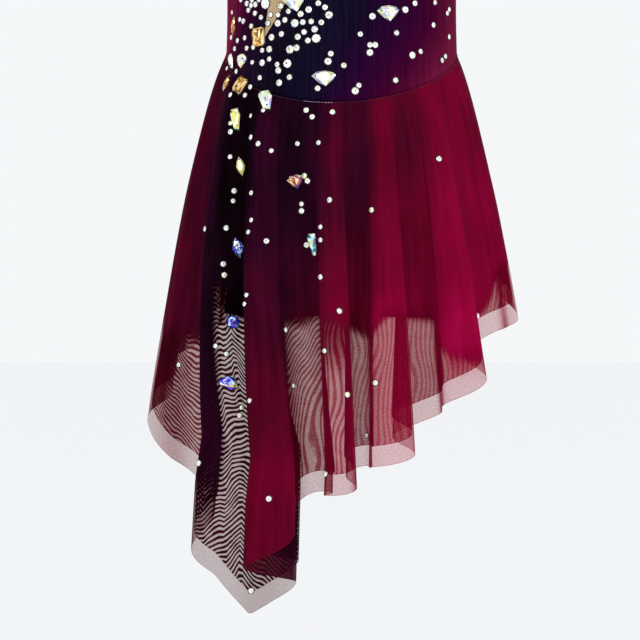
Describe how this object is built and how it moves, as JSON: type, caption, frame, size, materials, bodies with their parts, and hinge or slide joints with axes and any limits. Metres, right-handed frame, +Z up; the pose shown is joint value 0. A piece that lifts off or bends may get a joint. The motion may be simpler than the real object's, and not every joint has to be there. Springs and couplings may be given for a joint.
{
  "type": "figure skating dress",
  "caption": "Sleeveless figure skating dress with a nude mesh gore, a folded asymmetric sheer skirt that is longest at one front corner, and briefs, filled out as worn.",
  "frame": {"origin": "middle of the shoulder line, where the wearer's shoulders hold the dress up", "axes": "+Z up along the body, -Y out of the front, +X towards the wearer's left, where the hem is short"},
  "size_m": [0.3688, 0.3056, 0.8803],
  "materials": {
    "bodice": "satin stretch knit, dyed from navy to burgundy",
    "gore": "fine nude stretch mesh, matt",
    "skirt": "sheer stretch mesh, dyed from navy to burgundy, soft sheen",
    "brief": "matt stretch knit"
  },
  "bodies": {
    "root": {"bodice_front": "bodice", "bodice_back": "bodice", "bodice_gore": "gore", "skirt_outer_front": "skirt", "skirt_outer_back": "skirt", "skirt_inner_front": "skirt", "skirt_inner_back": "skirt", "brief_front": "brief", "brief_back": "brief"}
  },
  "joints": []
}
